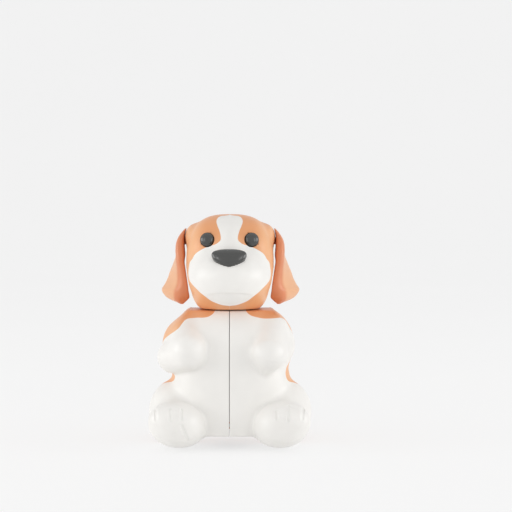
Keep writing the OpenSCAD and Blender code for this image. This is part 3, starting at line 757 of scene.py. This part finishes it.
def smoothLine(stations, count):     # a soft curve through the stations, by height
    table = np.array(stations, float)
    t = np.linspace(0, 1, len(table))
    fine = np.linspace(0, 1, count)
    slope = np.gradient(table, t, axis=0)
    at = np.clip(np.searchsorted(t, fine, side="right") - 1, 0, len(t) - 2)
    h = t[at + 1] - t[at]
    u = ((fine - t[at]) / h)[:, None]
    h = h[:, None]
    return ((2 * u ** 3 - 3 * u ** 2 + 1) * table[at] + (u ** 3 - 2 * u ** 2 + u) * h * slope[at]
            + (-2 * u ** 3 + 3 * u ** 2) * table[at + 1] + (u ** 3 - u ** 2) * h * slope[at + 1])


def loft(rings):                     # faces between rings of equal length, with fans at both ends
    n, m = len(rings[0]), len(rings)
    points = [tuple(q) for ring in rings for q in ring]
    faces = [(j * n + i, j * n + (i + 1) % n, (j + 1) * n + (i + 1) % n, (j + 1) * n + i)
             for j in range(m - 1) for i in range(n)]
    for j, turned in ((0, True), (m - 1, False)):
        points.append(tuple(np.mean(rings[j], axis=0)))
        hub = len(points) - 1
        for i in range(n):
            a, b = j * n + i, j * n + (i + 1) % n
            faces.append((b, a, hub) if turned else (a, b, hub))
    return points, faces


def outwards(piece):                 # joins doubles and points all faces out
    shape = bmesh.new()
    shape.from_mesh(piece.data)
    bmesh.ops.remove_doubles(shape, verts=shape.verts, dist=1e-7)
    bmesh.ops.recalc_face_normals(shape, faces=shape.faces)
    shape.to_mesh(piece.data)
    shape.free()
    return piece


def makeEar(side):
    plan = earPlan
    edge = headPlan["width"] / 2
    a = turns(80)
    u = (1 + squarer(np.cos(a), plan["corners"])) / 2
    v = (1 + squarer(np.sin(a), plan["corners"])) / 2
    rings = []
    for z, inner, wide, flare, deep in smoothLine(plan["stations"], 84):
        flare = max(flare, 0)
        near = edge + plan["gap"] + inner
        far = near + wide * plan["thick"]
        out = far + flare * plan["flare"]
        back = out - min(wide, 1.1) * plan["thick"]
        x = (1 - v) * (near + u * (far - near)) + v * (back + u * (out - back))
        y = (2 * v - 1) * deep * plan["deep"] / 2 + plan["middleY"]
        rings.append(np.stack([x, y, np.full(80, z)], -1))
    points, faces = loft(rings)
    # the outer side of the ear, which is painted paler as painted side light
    litSide = np.concatenate([np.tile(u * v ** 0.25, len(rings)), [0.3, 0.3]])
    a = turns(32)
    r, inside = plan["peg"] / 2, edge - plan["pegIn"]
    pegs = [np.stack([np.full(32, x), -plan["pegY"] + q * np.cos(a), plan["pegZ"] + q * np.sin(a)], -1)
            for x, q in ((inside, r - 0.3), (inside + 0.3, r), (edge + plan["pegOut"], r))]
    more, walls = loft(pegs)
    faces += [tuple(i + len(points) for i in f) for f in walls]
    points = np.array(points + more) * np.array([side, 1, 1])
    piece = meshPiece("earLeft" if side < 0 else "earRight", points, faces, 45)
    addTone(piece, "litSide", np.concatenate([litSide, np.zeros(len(more))]))
    finished(outwards(piece), "ear", "frame", "ear_left" if side < 0 else "ear_right")


makeEar(-1)
makeEar(1)
print("ears made")


# the head in two halves
def makeHead(back):
    step = 0.33
    front, rear = (-27.1, -11.4) if back else (-49.8, -25.9)
    points, quads = surfaceOf(lambda p: headShell(p, back), (-17.3, front, 46.9), (17.3, rear, 80.9), step)
    piece = meshPiece("headBack" if back else "headFace", points, quads)
    # the head's coat is painted paler where it faces sideways, as painted side light
    addTone(piece, "litSide", sideLitShare(headForm, points))
    finished(piece, "head", "frame", "head_back" if back else "head_face")
    print(piece.name, len(quads), "faces")


makeHead(False)
makeHead(True)


# eyes and nose, seated on the face
def onFace(seat, rings):
    at, across, up, out = seat
    return [at + r[:, :1] * across + r[:, 1:2] * up + r[:, 2:] * out for r in rings]


def makeEye(side):
    r = eyePlan["width"] / 2
    a = turns(72)
    # radius and height over the face: the side, a fine groove and the dome
    profile = [(r - 0.02, -0.8), (r, -0.7), (r, 0.0), (r - 0.04, 0.06), (r - 0.1, 0.07), (r - 0.14, 0.02)]
    profile += [((r - 0.15) * math.cos(t), 0.03 + eyePlan["dome"] * math.sin(t))
                for t in np.linspace(0.05, 1.5, 24)]
    rings = [np.stack([q * np.cos(a), q * np.sin(a), np.full(72, w)], -1) for q, w in profile]
    points, faces = loft(onFace(eyeSeats[side], rings))
    piece = outwards(meshPiece("eyeLeft" if side < 0 else "eyeRight", points, faces, 50))
    finished(piece, "dark", "frame", "eye_left" if side < 0 else "eye_right")


def makeNose():
    # height over the face and share of the outline: the side, then the dome
    profile = [(-1.0, 1.0), (0.15, 1.0), (0.35, 0.997)]
    profile += [(0.35 + nosePlan["dome"] * math.sin(t), 0.997 * math.cos(t) ** 0.95)
                for t in np.linspace(0.08, 1.5, 26)]
    rings = [np.concatenate([noseOutline(k), np.full((96, 1), w)], 1) for w, k in profile]
    points, faces = loft(onFace(noseSeat, rings))
    finished(outwards(meshPiece("noseTip", points, faces, 50)), "dark", "frame", "nose")


makeEye(-1)
makeEye(1)
makeNose()
print("eyes and nose made")


# screws: one tree makes every screw from its sizes
threadPlan = dict(depth=0.00015, radius=0.00014, pitch=0.0008, runOut=0.0012, start=0.0006)


def screwTree():
    tree = bpy.data.node_groups.new("crossScrews", "GeometryNodeTree")
    tree.interface.new_socket("Geometry", in_out="INPUT", socket_type="NodeSocketGeometry")
    for label, value in (("Shank Diameter", screwPlan["shank"]), ("Shank Length", 6.0),
                         ("Head Diameter", screwPlan["head"]), ("Head Height", screwPlan["headHeight"]),
                         ("Recess Width", 0.55)):
        socket = tree.interface.new_socket(label, in_out="INPUT", socket_type="NodeSocketFloat")
        socket.default_value = value / 1000
    tree.interface.new_socket("Geometry", in_out="OUTPUT", socket_type="NodeSocketGeometry")

    def times(a, b):
        return calc(tree, "MULTIPLY", a, b)

    def vector(x, y, z):
        return put(tree, "CombineXYZ", {0: x, 1: y, 2: z}).outputs[0]

    def geometry(kind, inputs=None, **settings):
        return put(tree, "GeometryNode" + kind, inputs, **settings).outputs[0]

    def moved(shape, offset, turn=0.0):
        return geometry("Transform", {"Geometry": shape, "Translation": offset, "Rotation": (0, 0, turn)})

    given = put(tree, "NodeGroupInput").outputs
    thread = threadPlan
    radius = times(given["Head Diameter"], 0.5)
    core = calc(tree, "SUBTRACT", times(given["Shank Diameter"], 0.5), thread["depth"])
    # a disc whose outer side falls away towards its rim
    disc = geometry("MeshCylinder", {"Vertices": 40, "Fill Segments": 6, "Radius": radius,
                                     "Depth": given["Head Height"]}, fill_type="TRIANGLE_FAN")
    parts = put(tree, "SeparateXYZ", {0: put(tree, "GeometryNodeInputPosition").outputs[0]}).outputs
    out = put(tree, "VectorMath", {0: vector(parts[0], parts[1], 0.0)}, operation="LENGTH").outputs["Value"]
    share = calc(tree, "POWER", calc(tree, "DIVIDE", out, radius), 3.0)
    lift = times(times(share, 0.0005), calc(tree, "LESS_THAN", parts[2], 0.0))
    domed = geometry("SetPosition", {"Geometry": disc, "Offset": vector(0.0, 0.0, lift)})
    seated = moved(domed, vector(0.0, 0.0, times(given["Head Height"], -0.5)))
    # the cross recess
    deep = times(given["Head Height"], -1.0)
    cross = put(tree, "GeometryNodeMeshBoolean", {0: seated}, operation="DIFFERENCE")
    for turn in (0.0, math.pi / 2):
        size = vector(given["Recess Width"], times(given["Head Diameter"], 0.56), 0.0016)
        bar = geometry("MeshCube", {"Size": size})
        tree.links.new(moved(bar, vector(0.0, 0.0, deep), turn), cross.inputs[1])
    # the shank with its thread
    shaft = geometry("MeshCylinder", {"Vertices": 24, "Radius": core, "Depth": given["Shank Length"]})
    shank = moved(shaft, vector(0.0, 0.0, times(given["Shank Length"], 0.5)))
    climb = calc(tree, "SUBTRACT", given["Shank Length"], thread["runOut"])
    rounds = calc(tree, "DIVIDE", climb, thread["pitch"])
    spiral = geometry("CurveSpiral", {"Resolution": 20, "Rotations": rounds, "Start Radius": core,
                                      "End Radius": core, "Height": climb})
    ring = geometry("CurvePrimitiveCircle", {"Resolution": 5, "Radius": thread["radius"]})
    ridge = geometry("CurveToMesh", {"Curve": spiral, "Profile Curve": ring, "Fill Caps": True})
    raised = moved(ridge, (0, 0, thread["start"]))
    whole = put(tree, "GeometryNodeJoinGeometry")
    for part in (cross.outputs[0], shank, raised):
        tree.links.new(part, whole.inputs[0])
    row = geometry("InstanceOnPoints", {"Points": given["Geometry"], "Instance": whole.outputs[0],
                                        "Rotation": (math.pi / 2, 0, 0)})
    real = geometry("RealizeInstances", {0: row})
    coated = geometry("SetMaterial", {"Geometry": real, "Material": finishes["steel"]})
    put(tree, "NodeGroupOutput", {0: coated})
    return tree


crossScrews = screwTree()


def makeScrews(name, seats, shankLength, body, node):
    seatMesh = bpy.data.meshes.new(name + "Seats")
    seatMesh.from_pydata(place(seats).tolist(), [], [])
    holder = addObject(name + "Seats", seatMesh)
    maker = holder.modifiers.new("crossScrews", "NODES")
    maker.node_group = crossScrews
    for item in crossScrews.interface.items_tree:
        if item.item_type == "SOCKET" and item.name == "Shank Length":
            maker[item.identifier] = shankLength / 1000
    mesh = appliedMesh(holder, 35)
    bpy.data.objects.remove(holder)
    finished(addObject(name, mesh), "steel", body, node)


def makeAllScrews():
    s = screwPlan
    for side, label, low in ((-1, "Left", "left"), (1, "Right", "right")):
        seats = [(side * s["leafX"], -s["leafSeat"], z) for z in s["leafHeights"]]
        makeScrews("leafScrews" + label, seats, s["leafLength"], low + "_half", "leaf_screws_" + low)
    seats = [(side * s["headX"], -s["headSeat"], s["headZ"]) for side in (-1, 1)]
    makeScrews("headScrews", seats, s["headLength"], "frame", "head_screws")
    seats = [(0, -s["frameSeat"], z) for z in s["frameHeights"]]
    makeScrews("frameScrews", seats, s["frameLength"], "frame", "frame_screws")


makeAllScrews()
print("screws made")


# frame and leaves: the CAD forms with their moulded edges eased; the pins stay as they are
def easedCopy(node, name, radius=0.25):
    shape = bmesh.new()
    shape.from_mesh(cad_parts[node].data)
    bmesh.ops.remove_doubles(shape, verts=shape.verts, dist=2e-6)
    bmesh.ops.dissolve_limit(shape, angle_limit=math.radians(1.0), verts=shape.verts, edges=shape.edges)
    mesh = bpy.data.meshes.new(name)
    shape.to_mesh(mesh)
    shape.free()
    piece = addObject(name, mesh)
    ease = piece.modifiers.new("easedEdges", "BEVEL")
    ease.width, ease.segments, ease.limit_method = radius / 1000, 2, "ANGLE"
    ease.angle_limit = math.radians(40)
    ease.use_clamp_overlap = True
    mesh = appliedMesh(piece, 32)
    piece.modifiers.remove(ease)
    piece.data = mesh
    return piece


for node, name, finish, body, slotName in (
        ("back_frame", "backFrame", "frame", "frame", "frame_orange"),
        ("leaf_left", "leafLeft", "leaf", "left_half", "leaf_white"),
        ("leaf_right", "leafRight", "leaf", "right_half", "leaf_white")):
    finished(easedCopy(node, name), finish, body, node)
for node in ("hinge_pin_left", "hinge_pin_right"):
    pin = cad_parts[node]
    pin.data.materials.clear()
    pin.data.materials.append(finishes["steel"])
print("frame, leaves and pins made")


# suction cup, turned about its own axis
cupPlan = dict(radius=15.6, lip=1.8, deep=2.6, skin=1.2, stem=2.5, knob=4.0, spineBack=9.4, spineFront=12.0)


def makeCup():
    c = cupPlan
    edge, inner, rise = c["radius"], c["radius"] - c["lip"], c["deep"] + c["skin"]
    stem, knob, back, front = c["stem"], c["knob"], c["spineBack"], c["spineFront"]
    # radius and distance from the wall: the hollow, the lip, the outside, the neck, the stem and the knob
    line = [(inner * t, c["deep"] * (1 - t * t)) for t in np.linspace(0.02, 1, 24)]
    line += [(edge - 0.15, 0.0), (edge, 0.15), (edge, 0.5), (edge - 0.12, 0.66)]
    line += [(5 + (edge - 5) * t, 0.8 + rise * (1 - t ** 1.6) - 0.1) for t in np.linspace(0.96, 0.24, 20)]
    line += [(7.1, 5.0), (6.5, 5.9), (6.1, back - 2.2), (5.75, back - 0.3), (5.5, back - 0.03),
             (stem - 0.02, back - 0.02), (stem - 0.02, front), (knob - 0.2, front + 0.1),
             (knob - 0.03, front + 0.3), (knob - 0.05, front + 0.85), (knob - 1.25, front + 2.05),
             (0.05, front + 2.08)]
    a = turns(96)
    rings = [np.stack([r * np.cos(a), np.full(96, -y), cupHeight + r * np.sin(a)], -1) for r, y in line]
    points, faces = loft(rings)
    finished(outwards(meshPiece("suctionCup", points, faces, 45)), "cup", "frame", "suction_cup")


makeCup()
print("suction cup made")


# floor: pale paper that sweeps up far behind, in metres
floorPlan = dict(drop=0.00005, front=-3.0, bendFrom=1.6, bend=0.8, top=3.5, halfWidth=4.0,
                 glow=0.28, glowSeen=0.4)


def makeFloor():
    f = floorPlan
    finish, tree, shader = startFinish("palePaper")
    where = put(tree, "TexCoord").outputs["Object"]
    haze = put(tree, "TexNoise", {"Vector": where, "Scale": 6.0}).outputs["Fac"]
    feed(tree, shader, {"Base Color": blendOf(tree, haze, (0.86, 0.86, 0.86, 1), (0.9, 0.9, 0.9, 1)),
                        "Roughness": 0.8})
    shine = put(tree, "Emission", {"Color": (1, 1, 1, 1), "Strength": 1.0})
    share = calc(tree, "ADD", calc(tree, "MULTIPLY", seenDirectly(tree), f["glowSeen"]), f["glow"])
    mix = put(tree, "MixShader", {0: share, 1: shader.outputs[0], 2: shine.outputs[0]})
    tree.links.new(mix.outputs[0], tree.nodes["Material Output"].inputs["Surface"])
    low = cadLow[2] - f["drop"]
    line = [(f["front"], low)]
    line += [(f["bendFrom"] + f["bend"] * math.sin(t), low + f["bend"] * (1 - math.cos(t)))
             for t in np.linspace(0, math.pi / 2, 17)]
    line += [(f["bendFrom"] + f["bend"], f["top"])]
    points = [(x, y, z) for y, z in line for x in (-f["halfWidth"], f["halfWidth"])]
    mesh = bpy.data.meshes.new("floor")
    mesh.from_pydata(points, [], [(2 * i, 2 * i + 1, 2 * i + 3, 2 * i + 2) for i in range(len(line) - 1)])
    mesh.materials.append(finish)
    addObject("floor", shadeSmooth(mesh))


makeFloor()
